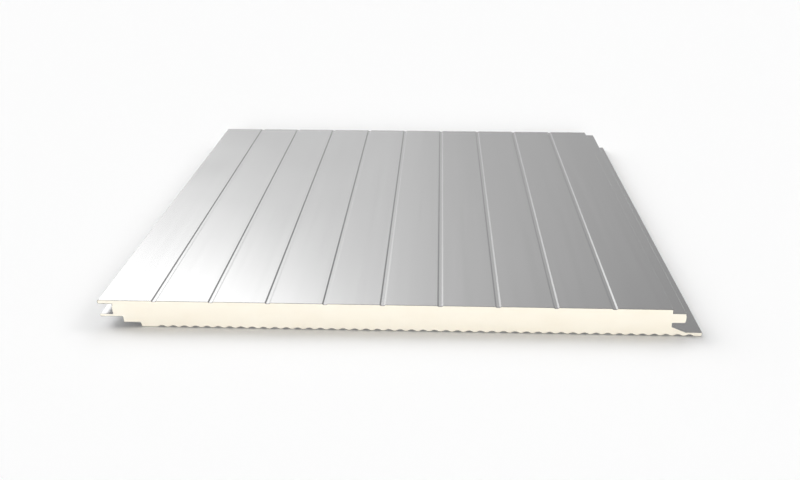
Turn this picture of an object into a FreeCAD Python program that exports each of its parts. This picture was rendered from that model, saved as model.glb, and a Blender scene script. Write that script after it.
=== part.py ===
"""Insulated wall panel with hidden fixings: two roll-formed steel sheets bonded to a rigid foam core.

The panel lies as it is stacked: the micro-ribbed outer sheet is underneath and the grooved inner
sheet is on top. X runs across the panel, Y along it and Z through its thickness. The section is
drawn from the nose of the top lip at X = 0, and each body is then shifted so that the origin is
the centre of the underside.
"""

import FreeCAD, Part
import math
import os
import re
import Sketcher

# Driving dimensions in millimetres. They fill the spreadsheet, and every sketch is bound to it.
SIZES = {
    "module_width": 1000.0,         # cover width, from one panel to the next
    "panel_length": 1150.0,
    "panel_thickness": 50.0,
    "inner_gauge": 0.7,             # thickness of the top sheet
    "outer_gauge": 0.7,             # thickness of the bottom sheet
    "bend_radius": 0.5,             # inside radius of a fold
    "nose_radius": 1.5,             # inside radius at the nose of the slot's lips
    "lead_radius": 2.5,             # inside radius under the tongue's tip and the cover lip's edge
    "sheet_return": 4.0,            # edge of a sheet folded over the slot wall and the tongue tip
    # grooves of the inner face
    "groove_pitch": 100.0,
    "groove_width": 9.8,
    "groove_floor": 5.0,
    "groove_depth": 1.5,
    # micro-ribs of the outer face
    "wave_pitch": 20.0,
    "wave_height": 2.8,
    "wave_crest": 4.5,              # flat that touches the ground, between its corners
    "wave_gap": 3.8,                # flat at the top of the hollow, between its corners
    "wave_radius": 6.0,             # inside radius of the rib's bends
    "flat_by_step": 24.3,           # least plain width before the first rib
    "flat_by_lip": 10.0,            # least plain width after the last rib
    # slot side
    "top_lip": 7.0,
    "slot_height": 19.0,
    "slot_depth": 25.5,
    "lower_lip": 5.2,
    "lower_lip_setback": 2.5,
    "screw_recess_reach": 42.5,     # the deep recess, where the screws go
    "cover_recess_reach": 73.5,     # the shallow recess, which the next panel's cover lip enters
    "step_lean": 1.5,               # how far each step leans over its height
    # tongue side
    "butt_gap": 0.5,                # between the top lip and the face that it meets
    "joint_clearance": 0.5,         # between the tongue and each lip
    "tip_clearance": 3.0,           # between the tongue's tip and the slot's back wall
    "notch_clearance": 1.6,         # under the lower lip, at the root of the notch
    "cover_lip": 7.3,               # thickness of the lip that hides the screws
    "cover_reach": 52.6,            # how far it stands out from the module
    "cover_slope_run": 24.2,        # where its sloping root ends
    "cover_clearance": 0.7,         # between it and the shallow recess
}

# Levels and places that follow from the driving dimensions.
TOP = "panel_thickness"
CEILING = "(panel_thickness - top_lip)"
FLOOR = f"({CEILING} - slot_height)"
LIP_UNDERSIDE = f"({FLOOR} - lower_lip)"
RECESS = "(cover_lip + cover_clearance)"
UNDERSIDE_START = "(cover_recess_reach + step_lean)"
SCREW_STEP = "(screw_recess_reach + step_lean)"
TONGUE_TOP = f"({CEILING} - joint_clearance)"
TONGUE_BOTTOM = f"({FLOOR} + joint_clearance)"
TONGUE_TIP = "(module_width + slot_depth - tip_clearance)"
MALE_FACE = "(module_width - butt_gap)"
NOTCH = f"({LIP_UNDERSIDE} - notch_clearance)"
SLOPE_END = "(module_width + cover_slope_run)"
COVER_END = "(module_width + cover_reach)"

GROOVE_COUNT = "(floor(module_width / groove_pitch) - 1)"
GROOVE_START = f"((module_width - {GROOVE_COUNT} * groove_pitch) / 2)"
GROOVE_END = f"({GROOVE_START} + {GROOVE_COUNT} * groove_pitch)"
GROOVE_SEAT = "(panel_thickness - inner_gauge - 2 * groove_depth)"

RIB_ZONE_START = f"({UNDERSIDE_START} + flat_by_step)"
RIB_ZONE_END = f"({COVER_END} - flat_by_lip)"
WAVE_COUNT = f"floor(({RIB_ZONE_END} - {RIB_ZONE_START}) / wave_pitch)"
WAVE_START = f"(({RIB_ZONE_START} + {RIB_ZONE_END} - {WAVE_COUNT} * wave_pitch) / 2)"
WAVE_END = f"({WAVE_START} + {WAVE_COUNT} * wave_pitch)"
WAVE_SEAT = "(outer_gauge + 2 * wave_height)"

# Radii of a bend: tight on the side that it closes round, wider by the gauge on the other.
TIGHT = "bend_radius"
INNER_WIDE = "(bend_radius + inner_gauge)"
OUTER_WIDE = "(bend_radius + outer_gauge)"
NOSE = "nose_radius"
INNER_NOSE = "(nose_radius + inner_gauge)"
OUTER_NOSE = "(nose_radius + outer_gauge)"
LEAD = "lead_radius"
OUTER_LEAD = "(lead_radius + outer_gauge)"
RIB_TIGHT = "wave_radius"
RIB_WIDE = "(wave_radius + outer_gauge)"


def mitre(gauge, rise, run):
    """Sideways shift of a corner from one face of a sheet to the other, where it leaves a flat."""
    return f"({gauge} * (sqrt(({rise})^2 + ({run})^2) - ({run})) / ({rise}))"


LOW_STEP_SHIFT = mitre("outer_gauge", RECESS, "step_lean")
HIGH_STEP_SHIFT = mitre("outer_gauge", f"{LIP_UNDERSIDE} - {RECESS}", "step_lean")
NOTCH_SHIFT = mitre("outer_gauge", f"{SLOPE_END} - {MALE_FACE}", f"{NOTCH} - cover_lip")
SLOPE_SHIFT = mitre("outer_gauge", f"{NOTCH} - cover_lip", f"{SLOPE_END} - {MALE_FACE}")
GROOVE_SHIFT = mitre("inner_gauge", "groove_depth", "(groove_width - groove_floor) / 2")
WAVE_SHIFT = mitre("outer_gauge", "wave_height", "(wave_pitch - wave_crest - wave_gap) / 2")

# Faces of the two sheets as corners (x, z, radius), a radius of None being a square end.
# "seen" is the painted face and "bonded" is the face against the foam.
INNER_SLOT_SEEN = [
    ("slot_depth", f"{CEILING} - sheet_return", None),
    ("slot_depth", CEILING, TIGHT),
    ("0", CEILING, INNER_NOSE),
    ("0", TOP, INNER_NOSE),
    (GROOVE_START, TOP, None),
]
INNER_SLOT_BONDED = [
    ("slot_depth + inner_gauge", f"{CEILING} - sheet_return", None),
    ("slot_depth + inner_gauge", f"{CEILING} + inner_gauge", INNER_WIDE),
    ("inner_gauge", f"{CEILING} + inner_gauge", NOSE),
    ("inner_gauge", f"{TOP} - inner_gauge", NOSE),
    (GROOVE_START, f"{TOP} - inner_gauge", None),
]
INNER_TONGUE_SEEN = [
    (GROOVE_END, TOP, None),
    (MALE_FACE, TOP, INNER_WIDE),
    (MALE_FACE, TONGUE_TOP, TIGHT),
    (TONGUE_TIP, TONGUE_TOP, INNER_WIDE),
    (TONGUE_TIP, f"{TONGUE_TOP} - sheet_return", None),
]
INNER_TONGUE_BONDED = [
    (GROOVE_END, f"{TOP} - inner_gauge", None),
    (f"{MALE_FACE} - inner_gauge", f"{TOP} - inner_gauge", TIGHT),
    (f"{MALE_FACE} - inner_gauge", f"{TONGUE_TOP} - inner_gauge", INNER_WIDE),
    (f"{TONGUE_TIP} - inner_gauge", f"{TONGUE_TOP} - inner_gauge", TIGHT),
    (f"{TONGUE_TIP} - inner_gauge", f"{TONGUE_TOP} - sheet_return", None),
]
OUTER_TONGUE_SEEN = [
    (TONGUE_TIP, f"{TONGUE_BOTTOM} + sheet_return", None),
    (TONGUE_TIP, TONGUE_BOTTOM, OUTER_LEAD),
    (MALE_FACE, TONGUE_BOTTOM, TIGHT),
    (MALE_FACE, NOTCH, TIGHT),
    (SLOPE_END, "cover_lip", TIGHT),
    (COVER_END, "cover_lip", OUTER_WIDE),
    (COVER_END, "0", OUTER_LEAD),
    (WAVE_END, "0", None),
]
OUTER_TONGUE_BONDED = [
    (f"{TONGUE_TIP} - outer_gauge", f"{TONGUE_BOTTOM} + sheet_return", None),
    (f"{TONGUE_TIP} - outer_gauge", f"{TONGUE_BOTTOM} + outer_gauge", LEAD),
    (f"{MALE_FACE} - outer_gauge", f"{TONGUE_BOTTOM} + outer_gauge", OUTER_WIDE),
    (f"{MALE_FACE} - outer_gauge", f"{NOTCH} - {NOTCH_SHIFT}", OUTER_WIDE),
    (f"{SLOPE_END} - {SLOPE_SHIFT}", "cover_lip - outer_gauge", OUTER_WIDE),
    (f"{COVER_END} - outer_gauge", "cover_lip - outer_gauge", TIGHT),
    (f"{COVER_END} - outer_gauge", "outer_gauge", LEAD),
    (WAVE_END, "outer_gauge", None),
]
OUTER_SLOT_SEEN = [
    (WAVE_START, "0", None),
    (UNDERSIDE_START, "0", OUTER_WIDE),
    ("cover_recess_reach", RECESS, TIGHT),
    (SCREW_STEP, RECESS, OUTER_WIDE),
    ("screw_recess_reach", LIP_UNDERSIDE, TIGHT),
    ("lower_lip_setback", LIP_UNDERSIDE, OUTER_NOSE),
    ("lower_lip_setback", FLOOR, OUTER_NOSE),
    ("slot_depth", FLOOR, TIGHT),
    ("slot_depth", f"{FLOOR} + sheet_return", None),
]
OUTER_SLOT_BONDED = [
    (WAVE_START, "outer_gauge", None),
    (f"{UNDERSIDE_START} + {LOW_STEP_SHIFT}", "outer_gauge", TIGHT),
    (f"cover_recess_reach + {LOW_STEP_SHIFT}", f"{RECESS} + outer_gauge", OUTER_WIDE),
    (f"{SCREW_STEP} + {HIGH_STEP_SHIFT}", f"{RECESS} + outer_gauge", TIGHT),
    (f"screw_recess_reach + {HIGH_STEP_SHIFT}", f"{LIP_UNDERSIDE} + outer_gauge", OUTER_WIDE),
    ("lower_lip_setback + outer_gauge", f"{LIP_UNDERSIDE} + outer_gauge", NOSE),
    ("lower_lip_setback + outer_gauge", f"{FLOOR} - outer_gauge", NOSE),
    ("slot_depth + outer_gauge", f"{FLOOR} - outer_gauge", OUTER_WIDE),
    ("slot_depth + outer_gauge", f"{FLOOR} + sheet_return", None),
]


def repeat_profile(start, pitch, flat_level, bent_level, wide, narrow, shift, flat_bend, bent_bend):
    """One pitch of grooves or ribs, from flat to flat. The bend is wide at its mouth, narrow within."""
    middle = f"{start} + {pitch} / 2"
    return [
        (start, flat_level, None),
        (f"{middle} - {wide} / 2 - {shift}", flat_level, flat_bend),
        (f"{middle} - {narrow} / 2 - {shift}", bent_level, bent_bend),
        (f"{middle} + {narrow} / 2 + {shift}", bent_level, bent_bend),
        (f"{middle} + {wide} / 2 + {shift}", flat_level, flat_bend),
        (f"{start} + {pitch}", flat_level, None),
    ]


def groove_profile(depth_in_sheet, shift, flat_bend, bent_bend):
    level = f"{TOP} - {depth_in_sheet}"
    return repeat_profile(GROOVE_START, "groove_pitch", level, f"{level} - groove_depth",
                          "groove_width", "groove_floor", shift, flat_bend, bent_bend)


def wave_profile(depth_in_sheet, shift, flat_bend, bent_bend):
    return repeat_profile(WAVE_START, "wave_pitch", depth_in_sheet, f"{depth_in_sheet} + wave_height",
                          "(wave_pitch - wave_crest)", "wave_gap", shift, flat_bend, bent_bend)


GROOVE_SEEN = groove_profile("0", "0", INNER_WIDE, TIGHT)
GROOVE_BONDED = groove_profile("inner_gauge", GROOVE_SHIFT, TIGHT, INNER_WIDE)
WAVE_SEEN = wave_profile("0", "0", RIB_WIDE, RIB_TIGHT)
WAVE_BONDED = wave_profile("outer_gauge", WAVE_SHIFT, RIB_TIGHT, RIB_WIDE)


def bound(expression):
    """The expression with each driving dimension read from its spreadsheet cell."""
    return re.sub(r"[a-z]+(?:_[a-z]+)+", lambda name: "Sizes." + name.group(), expression)


def add_size_sheet(doc):
    sheet = doc.addObject("Spreadsheet::Sheet", "Sizes")
    for row, (name, size) in enumerate(SIZES.items(), start=1):
        sheet.set(f"A{row}", name)
        sheet.set(f"B{row}", str(size))
        sheet.setAlias(f"B{row}", name)
    doc.recompute()


def origin_feature(body, role):
    return next(item for item in body.Origin.OriginFeatures if item.Role == role)


def add_body(doc, label):
    body = doc.addObject("PartDesign::Body", label)
    body.Label = label
    body.setExpression("Placement.Base.x", bound(f"-{COVER_END} / 2"))
    return body


def rounded_corner(before, spot, after, radius):
    """The two ends and the middle of the arc that rounds the corner at spot."""
    back = (before - spot).normalize()
    ahead = (after - spot).normalize()
    bisector = (back + ahead).normalize()
    half = back.getAngle(ahead) / 2
    centre = spot + bisector * (radius / math.sin(half))
    run = radius / math.tan(half)
    return spot + back * run, centre - bisector * radius, spot + ahead * run


def lay_out(sketch, corners):
    """Where the outline leaves each corner on either side, with the arc between, solved from the sheet."""
    spots = [FreeCAD.Vector(sketch.evalExpression(bound(x)), sketch.evalExpression(bound(z)), 0)
             for x, z, _ in corners]
    bends = []
    for index, (_, _, radius) in enumerate(corners):
        spot = spots[index]
        if radius is None:
            bends.append((spot, spot, spot))
        else:
            size = sketch.evalExpression(bound(radius))
            after = spots[(index + 1) % len(spots)]
            bends.append(rounded_corner(spots[index - 1], spot, after, size))
    return spots, bends


def place_corner(sketch, geometry, x, z):
    """Rules that bind the start of a line, or a point, to its two coordinates."""
    return [(Sketcher.Constraint(kind, -1, 1, geometry, 1, sketch.evalExpression(bound(value))), value)
            for kind, value in (("DistanceX", x), ("DistanceY", z))]


def round_corner(sketch, line_in, line_out, spot, bend, radius):
    """Add the arc between two lines and the construction point at their corner. Returns it with its rules."""
    first, middle, last = bend
    arc = sketch.addGeometry(Part.Arc(first, middle, last), False)
    point = sketch.addGeometry(Part.Point(spot), True)
    starts_first = sketch.getPoint(arc, 1).isEqual(first, 1e-6)
    near, far = (1, 2) if starts_first else (2, 1)
    size = sketch.evalExpression(bound(radius))
    return point, [
        (Sketcher.Constraint("Tangent", line_in, 2, arc, near), None),
        (Sketcher.Constraint("Tangent", arc, far, line_out, 1), None),
        (Sketcher.Constraint("PointOnObject", point, 1, line_in), None),
        (Sketcher.Constraint("PointOnObject", point, 1, line_out), None),
        (Sketcher.Constraint("Radius", arc, size), radius),
    ]


def add_outline(body, name, corners):
    """A closed outline across the panel, drawn on the body's own XZ plane."""
    sketch = body.newObject("Sketcher::SketchObject", name)
    sketch.AttachmentSupport = [(origin_feature(body, "XZ_Plane"), "")]
    sketch.MapMode = "FlatFace"
    spots, bends = lay_out(sketch, corners)
    sketch.addGeometry([Part.LineSegment(bend[2], following[0])
                        for bend, following in zip(bends, bends[1:] + bends[:1])], False)
    rules = []
    for index, (x, z, radius) in enumerate(corners):
        line_in = (index - 1) % len(corners)
        if radius is None:
            anchor = index
            rules.append((Sketcher.Constraint("Coincident", line_in, 2, index, 1), None))
        else:
            anchor, more = round_corner(sketch, line_in, index, spots[index], bends[index], radius)
            rules += more
        rules += place_corner(sketch, anchor, x, z)
    sketch.addConstraint([constraint for constraint, _ in rules])
    for number, (_, value) in enumerate(rules):
        if value is not None:
            sketch.setExpression(f"Constraints[{number}]", bound(value))
    return sketch


def add_length(body, name, corners):
    """The outline carried along the whole length of the panel, half to each side."""
    sketch = add_outline(body, name + "_section", corners)
    pad = body.newObject("PartDesign::Pad", name)
    pad.Profile = sketch
    pad.SideType = "Symmetric"
    pad.setExpression("Length", bound("panel_length"))
    pad.Refine = False
    sketch.Visibility = False
    return pad


def add_row(body, name, corners, pitch, count):
    """One pitch of the section, repeated across the panel."""
    pad = add_length(body, name, corners)
    row = body.newObject("PartDesign::LinearPattern", name + "_row")
    row.Originals = [pad]
    row.Direction = (origin_feature(body, "X_Axis"), [""])
    row.Mode = "Spacing"
    row.setExpression("Offset", bound(pitch))
    row.setExpression("Occurrences", bound(count))
    row.Refine = False
    body.Tip = row
    return row


def close_body(body, last):
    """Make the last feature the body's result, with the flats that its features share merged."""
    last.Refine = True
    body.Tip = last


def add_inner_skin(doc):
    body = add_body(doc, "inner_skin")
    add_length(body, "inner_slot_side", INNER_SLOT_SEEN + INNER_SLOT_BONDED[::-1])
    add_row(body, "inner_groove", GROOVE_SEEN + GROOVE_BONDED[::-1], "groove_pitch", GROOVE_COUNT)
    close_body(body, add_length(body, "inner_tongue_side", INNER_TONGUE_SEEN + INNER_TONGUE_BONDED[::-1]))


def add_outer_skin(doc):
    body = add_body(doc, "outer_skin")
    add_length(body, "outer_slot_side", OUTER_SLOT_SEEN + OUTER_SLOT_BONDED[::-1])
    add_row(body, "outer_rib", WAVE_SEEN + WAVE_BONDED[::-1], "wave_pitch", WAVE_COUNT)
    close_body(body, add_length(body, "outer_tongue_side", OUTER_TONGUE_SEEN + OUTER_TONGUE_BONDED[::-1]))


def add_foam_core(doc):
    """The foam fills the sheets and is bare between their edges, in the slot and at the tongue tip."""
    body = add_body(doc, "foam_core")
    seat_above = [(GROOVE_START, GROOVE_SEAT, None), (GROOVE_END, GROOVE_SEAT, None)]
    tip = [(TONGUE_TIP, f"{TONGUE_TOP} - sheet_return", None),
           (TONGUE_TIP, f"{TONGUE_BOTTOM} + sheet_return", None)]
    seat_below = [(WAVE_END, WAVE_SEAT, None), (WAVE_START, WAVE_SEAT, None)]
    slot_wall = [("slot_depth", f"{FLOOR} + sheet_return", None),
                 ("slot_depth", f"{CEILING} - sheet_return", None)]
    add_length(body, "foam_body", INNER_SLOT_BONDED + seat_above + INNER_TONGUE_BONDED + tip
               + OUTER_TONGUE_BONDED + seat_below + OUTER_SLOT_BONDED + slot_wall)
    above = [(f"{GROOVE_START} + groove_pitch", GROOVE_SEAT, None), (GROOVE_START, GROOVE_SEAT, None)]
    add_row(body, "foam_under_groove", GROOVE_BONDED + above, "groove_pitch", GROOVE_COUNT)
    below = [(f"{WAVE_START} + wave_pitch", WAVE_SEAT, None), (WAVE_START, WAVE_SEAT, None)]
    close_body(body, add_row(body, "foam_over_rib", WAVE_BONDED + below, "wave_pitch", WAVE_COUNT))


def check(doc):
    """Stop on any object that failed to build."""
    for item in doc.Objects:
        if "Invalid" in item.State or "Error" in item.State:
            raise RuntimeError(f"{item.Name} did not build: {item.State}")
    for body in doc.findObjects("PartDesign::Body"):
        shape = body.Shape
        if shape.isNull() or not shape.isValid() or len(shape.Solids) != 1:
            raise RuntimeError(f"{body.Label} is not one valid solid")


def main():
    doc = FreeCAD.newDocument("InsulatedPanel")
    add_size_sheet(doc)
    add_inner_skin(doc)
    add_foam_core(doc)
    add_outer_skin(doc)
    doc.recompute()
    check(doc)
    os.makedirs("parts", exist_ok=True)
    for body in doc.findObjects("PartDesign::Body"):
        body.Shape.exportStep(f"parts/{body.Label}.step")
        print(body.Label, round(body.Shape.Volume / 1000.0, 1), "cm3")


main()
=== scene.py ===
"""Looks for the insulated sandwich panel: two coated steel sheets, sawn foam, the studio and the camera."""
import math

import bpy
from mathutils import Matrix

# Coated steel. Colours are linear, a noise is its cells per metre and its detail, and a bump is its
# strength and its depth in metres.
SILVER = (0.537, 0.537, 0.537)
STREAK_NOISE = (60.0, 4.0)
STREAK_STRETCH = (1.0, 0.02, 1.0)   # drawn out along the panel
STREAK_SPAN = (0.35, 0.65)          # where in the noise the dark streaks end and the light ones begin
STREAK_TONES = (0.985, 1.015)       # the dark and the light streaks, as shares of the coat's colour
MOTTLE_NOISE = (5.0, 3.0)
MOTTLE_SPAN = (0.3, 0.7)
COAT_ROUGHNESS = (0.19, 0.22)
GRAIN_NOISE = (900.0, 2.0)
GRAIN_BUMP = (0.04, 0.0001)
INNER_CUT_PAINTED_SHADE = (0.045, 0.045, 0.048)   # bare steel on the cut ends of the inner sheet, darkened to near-black as painted shade along the edge
OUTER_CUT = (0.3, 0.3, 0.3)         # and of the outer sheet
CUT_FACING = 0.7                    # on a cut end, the normal's share along Y is above this

# Sawn foam.
FOAM_DARK = (0.935, 0.875, 0.75)
FOAM_LIGHT = (0.955, 0.905, 0.79)
CLOUD_NOISE = (14.0, 4.0)
CLOUD_STRETCH = (1.0, 1.0, 2.0)     # flatter than they are wide
CLOUD_SPAN = (0.3, 0.7)
CELLS_PER_METRE = 900.0
CELL_BUMP = (0.3, 0.0004)
FOAM_ROUGHNESS = 0.85
FOAM_GLOSS = 0.25

# The floor, its size in metres.
FLOOR_SIZE = 30.0
FLOOR_WHITE = (0.98, 0.98, 0.98)
FLOOR_ROUGHNESS = 0.9

# What lights the panel. Soft lamps: azimuth and elevation in degrees, strength, and tightness.
LAMPS = (
    (-59.9, 37.0, 7.4, 36.0),
    (4.7, 35.3, 4.4, 70.0),
    (-7.4, 33.8, 0.53, 11.8),
    (60.8, 39.7, 5.9, 106.0),
    (111.1, 28.0, 3.4, 148.0),
)
# The walls' glow at the horizon, on the left and on the right, and how fast it falls upwards.
GLOW = (0.37, 0.19, 2.7)
# The soft edge between the left and the right glow: where it starts and ends, as a direction's X.
GLOW_EDGE = (-0.036, 0.020)
# The low lamp in front: elevation and width in degrees, and strength.
FRONT_LAMP = (10.7, 10.2, 1.82)

# What the sheets mirror behind the panel, and how bright it may get.
MIRRORED_LAMPS = (
    (-30.9, 10.1, 1.04, 120.0),
    (-20.6, 34.0, 8.0, 172.0),
    (-1.9, 27.1, 0.47, 60.0),
)
MIRRORED_GLOW = (0.681, 0.49, 0.91)
MIRRORED_LIMIT = 2.4
# Where the plain sides and front give way to what is mirrored behind, as a direction's Y.
BEHIND = (0.6, 0.8)
# How bright the plain sides and front are at the horizon, and the change from there to straight up.
PLAIN_WALL = 1.0
PLAIN_FALL = -0.55
# The backdrop's white, which the camera sees.
BACKDROP = 0.985

# The camera: place in metres, turn in degrees, lens and sensor in millimetres.
CAMERA_PLACE = (0.0663, -2.1434, 0.7839)
CAMERA_TURN = (68.664, 0.0, 2.268)
CAMERA_LENS = 45.01
SENSOR_WIDTH = 36.0

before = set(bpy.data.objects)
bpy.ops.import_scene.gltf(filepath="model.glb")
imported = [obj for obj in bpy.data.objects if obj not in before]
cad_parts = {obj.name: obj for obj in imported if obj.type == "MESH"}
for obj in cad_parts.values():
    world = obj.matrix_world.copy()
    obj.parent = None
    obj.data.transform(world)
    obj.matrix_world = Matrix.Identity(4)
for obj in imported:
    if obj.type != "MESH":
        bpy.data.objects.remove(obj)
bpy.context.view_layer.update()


# Shader nodes

def node(tree, kind, **settings):
    made = tree.nodes.new(kind)
    for key, value in settings.items():
        setattr(made, key, value)
    return made


def math_node(tree, operation, *values):
    """A maths node whose inputs are numbers or other nodes' outputs."""
    made = node(tree, "ShaderNodeMath", operation=operation)
    for socket, value in zip(made.inputs, values):
        if isinstance(value, (int, float)):
            socket.default_value = value
        else:
            tree.links.new(value, socket)
    return made.outputs["Value"]


def map_range(tree, value, source, target, interpolation="LINEAR"):
    """Maps a value's source range to the target range, and holds it there outside."""
    made = node(tree, "ShaderNodeMapRange", interpolation_type=interpolation)
    tree.links.new(value, made.inputs["Value"])
    made.inputs["From Min"].default_value, made.inputs["From Max"].default_value = source
    made.inputs["To Min"].default_value, made.inputs["To Max"].default_value = target
    return made.outputs["Result"]


def blend(tree, share, first, second):
    """First where the share is 0, second where it is 1."""
    difference = math_node(tree, "SUBTRACT", second, first)
    return math_node(tree, "MULTIPLY_ADD", difference, share, first)


def noise(tree, coordinates, scale, detail, stretch=(1.0, 1.0, 1.0)):
    """Noise in the coordinates' units. A stretch below 1 draws it out along that axis."""
    mapping = node(tree, "ShaderNodeMapping")
    mapping.inputs["Scale"].default_value = stretch
    tree.links.new(coordinates, mapping.inputs["Vector"])
    texture = node(tree, "ShaderNodeTexNoise")
    texture.inputs["Scale"].default_value = scale
    texture.inputs["Detail"].default_value = detail
    tree.links.new(mapping.outputs["Vector"], texture.inputs["Vector"])
    return texture.outputs["Fac"]


def ramp(tree, value, span, dark, light):
    """Goes from the dark colour to the light one as the value crosses the span."""
    made = node(tree, "ShaderNodeValToRGB")
    for element, place, colour in zip(made.color_ramp.elements, span, (dark, light)):
        element.position = place
        element.color = (*colour, 1.0)
    tree.links.new(value, made.inputs["Fac"])
    return made.outputs["Color"]


def bump(tree, shader, height, strength, depth):
    made = node(tree, "ShaderNodeBump")
    made.inputs["Strength"].default_value = strength
    made.inputs["Distance"].default_value = depth
    tree.links.new(height, made.inputs["Height"])
    tree.links.new(made.outputs["Normal"], shader.inputs["Normal"])


# Materials

def new_material(name):
    """A new node material, its tree and its surface shader."""
    material = bpy.data.materials.new(name)
    material.use_nodes = True
    tree = material.node_tree
    return material, tree, tree.nodes["Principled BSDF"]


def cut_mask(tree):
    """1 on the faces across the panel's ends, where the sheet was cut, and 0 elsewhere."""
    coordinates = node(tree, "ShaderNodeTexCoord")
    split = node(tree, "ShaderNodeSeparateXYZ")
    tree.links.new(coordinates.outputs["Normal"], split.inputs["Vector"])
    along = math_node(tree, "ABSOLUTE", split.outputs["Y"])
    return math_node(tree, "GREATER_THAN", along, CUT_FACING)


def coated_steel(name, base, cut):
    """Coil-coated steel: faint streaks along the sheet, uneven gloss, and the given colour where cut, which
    is dull bare metal on the outer sheet and near-black painted shade on the inner one.
    """
    material, tree, shader = new_material(name)
    where = node(tree, "ShaderNodeTexCoord").outputs["Object"]
    streaks = noise(tree, where, *STREAK_NOISE, STREAK_STRETCH)
    mottle = noise(tree, where, *MOTTLE_NOISE)
    dark, light = (tuple(channel * tone for channel in base) for tone in STREAK_TONES)
    coat = ramp(tree, streaks, STREAK_SPAN, dark, light)
    # Where cut, the coat gives way to the cut colour, which on the inner sheet is near-black painted shade.
    mix = node(tree, "ShaderNodeMix", data_type="RGBA")
    tree.links.new(cut_mask(tree), mix.inputs["Factor"])
    tree.links.new(coat, mix.inputs["A"])
    mix.inputs["B"].default_value = (*cut, 1.0)
    tree.links.new(mix.outputs["Result"], shader.inputs["Base Color"])
    shader.inputs["Metallic"].default_value = 1.0
    roughness = map_range(tree, mottle, MOTTLE_SPAN, COAT_ROUGHNESS)
    tree.links.new(roughness, shader.inputs["Roughness"])
    bump(tree, shader, noise(tree, where, *GRAIN_NOISE), *GRAIN_BUMP)
    return material


def cut_foam(name):
    """Cream rigid foam, sawn: soft colour clouds and fine closed cells."""
    material, tree, shader = new_material(name)
    where = node(tree, "ShaderNodeTexCoord").outputs["Object"]
    clouds = noise(tree, where, *CLOUD_NOISE, CLOUD_STRETCH)
    cells = node(tree, "ShaderNodeTexVoronoi")
    cells.inputs["Scale"].default_value = CELLS_PER_METRE
    tree.links.new(where, cells.inputs["Vector"])
    colour = ramp(tree, clouds, CLOUD_SPAN, FOAM_DARK, FOAM_LIGHT)
    tree.links.new(colour, shader.inputs["Base Color"])
    shader.inputs["Roughness"].default_value = FOAM_ROUGHNESS
    shader.inputs["Specular IOR Level"].default_value = FOAM_GLOSS
    bump(tree, shader, cells.outputs["Distance"], *CELL_BUMP)
    return material


def dress(name, material):
    """Gives a CAD node its one material."""
    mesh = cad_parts[name].data
    mesh.materials.clear()
    mesh.materials.append(material)


# Floor, studio and camera

def add_floor():
    bpy.ops.mesh.primitive_plane_add(size=FLOOR_SIZE, location=(0.0, 0.0, 0.0))
    floor = bpy.context.object
    floor.name = "floor"
    material, _, shader = new_material("studio_floor")
    shader.inputs["Base Color"].default_value = (*FLOOR_WHITE, 1.0)
    shader.inputs["Roughness"].default_value = FLOOR_ROUGHNESS
    shader.inputs["Specular IOR Level"].default_value = 0.0
    floor.data.materials.append(material)


def direction(azimuth, elevation):
    """The unit vector at that azimuth, clockwise from +Y seen from above, and elevation, in degrees."""
    turn, rise = math.radians(azimuth), math.radians(elevation)
    return (math.sin(turn) * math.cos(rise), math.cos(turn) * math.cos(rise), math.sin(rise))


def soft_lamp(tree, towards, azimuth, elevation, strength, tightness):
    """Light from round one direction of the studio, falling off smoothly away from it."""
    dot = node(tree, "ShaderNodeVectorMath", operation="DOT_PRODUCT")
    tree.links.new(towards, dot.inputs[0])
    dot.inputs[1].default_value = direction(azimuth, elevation)
    nearness = math_node(tree, "MULTIPLY_ADD", dot.outputs["Value"], 0.5, 0.5)
    lobe = math_node(tree, "POWER", nearness, tightness)
    return math_node(tree, "MULTIPLY", lobe, strength)


def studio(tree, towards, split, rise, glow, lamps):
    """Walls that glow towards the horizon, and the soft lamps before them."""
    left, right, fall = glow
    height = math_node(tree, "POWER", math_node(tree, "SUBTRACT", 1.0, rise), fall)
    wall = map_range(tree, split.outputs["X"], GLOW_EDGE, (left, right), "SMOOTHSTEP")
    total = math_node(tree, "MULTIPLY", height, wall)
    for lamp in lamps:
        total = math_node(tree, "ADD", total, soft_lamp(tree, towards, *lamp))
    return total


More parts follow.
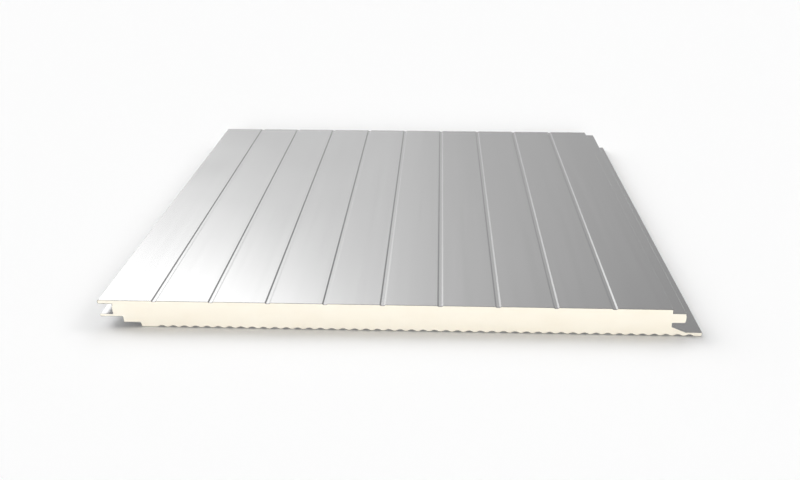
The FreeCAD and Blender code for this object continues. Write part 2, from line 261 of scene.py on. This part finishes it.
def add_world():
    """One studio that lights the panel, one that the sheets mirror, and a pale backdrop for the camera."""
    world = bpy.data.worlds.new("studio")
    bpy.context.scene.world = world
    world.use_nodes = True
    tree = world.node_tree
    towards = node(tree, "ShaderNodeTexCoord").outputs["Generated"]
    split = node(tree, "ShaderNodeSeparateXYZ")
    tree.links.new(towards, split.inputs["Vector"])
    rise = math_node(tree, "MAXIMUM", split.outputs["Z"], 0.0)
    light = studio(tree, towards, split, rise, GLOW, LAMPS)
    mirrored = studio(tree, towards, split, rise, MIRRORED_GLOW, MIRRORED_LAMPS)
    mirrored = math_node(tree, "MINIMUM", mirrored, MIRRORED_LIMIT)
    plain = math_node(tree, "MULTIPLY_ADD", rise, PLAIN_FALL, PLAIN_WALL)
    behind = map_range(tree, split.outputs["Y"], BEHIND, (0.0, 1.0), "SMOOTHSTEP")
    mirrored = blend(tree, behind, plain, mirrored)
    path = node(tree, "ShaderNodeLightPath")
    seen = blend(tree, path.outputs["Is Glossy Ray"], light, mirrored)
    seen = blend(tree, path.outputs["Is Camera Ray"], seen, BACKDROP)
    background = tree.nodes["Background"]
    background.inputs["Color"].default_value = (1.0, 1.0, 1.0, 1.0)
    tree.links.new(seen, background.inputs["Strength"])


def add_front_lamp():
    """The low lamp in front, kept out of the sheets' reflections so that they don't glare from behind."""
    elevation, width, strength = FRONT_LAMP
    lamp = bpy.data.lights.new("front_lamp", "SUN")
    lamp.energy = strength
    lamp.angle = math.radians(width)
    holder = bpy.data.objects.new("front_lamp", lamp)
    bpy.context.collection.objects.link(holder)
    holder.rotation_euler = (math.radians(90.0 - elevation), 0.0, 0.0)
    holder.visible_glossy = False


def add_camera():
    camera = bpy.data.cameras.new("camera")
    camera.sensor_width = SENSOR_WIDTH
    camera.lens = CAMERA_LENS
    holder = bpy.data.objects.new("camera", camera)
    bpy.context.collection.objects.link(holder)
    holder.location = CAMERA_PLACE
    holder.rotation_euler = [math.radians(angle) for angle in CAMERA_TURN]
    bpy.context.scene.camera = holder


# The inner sheet's cut ends are near-black: painted shade along its edge.
dress("inner_skin", coated_steel("inner_coat", SILVER, INNER_CUT_PAINTED_SHADE))
dress("outer_skin", coated_steel("outer_coat", SILVER, OUTER_CUT))
dress("foam_core", cut_foam("foam_cut"))
add_floor()
add_world()
add_front_lamp()
add_camera()
bpy.context.scene.view_settings.view_transform = "Standard"
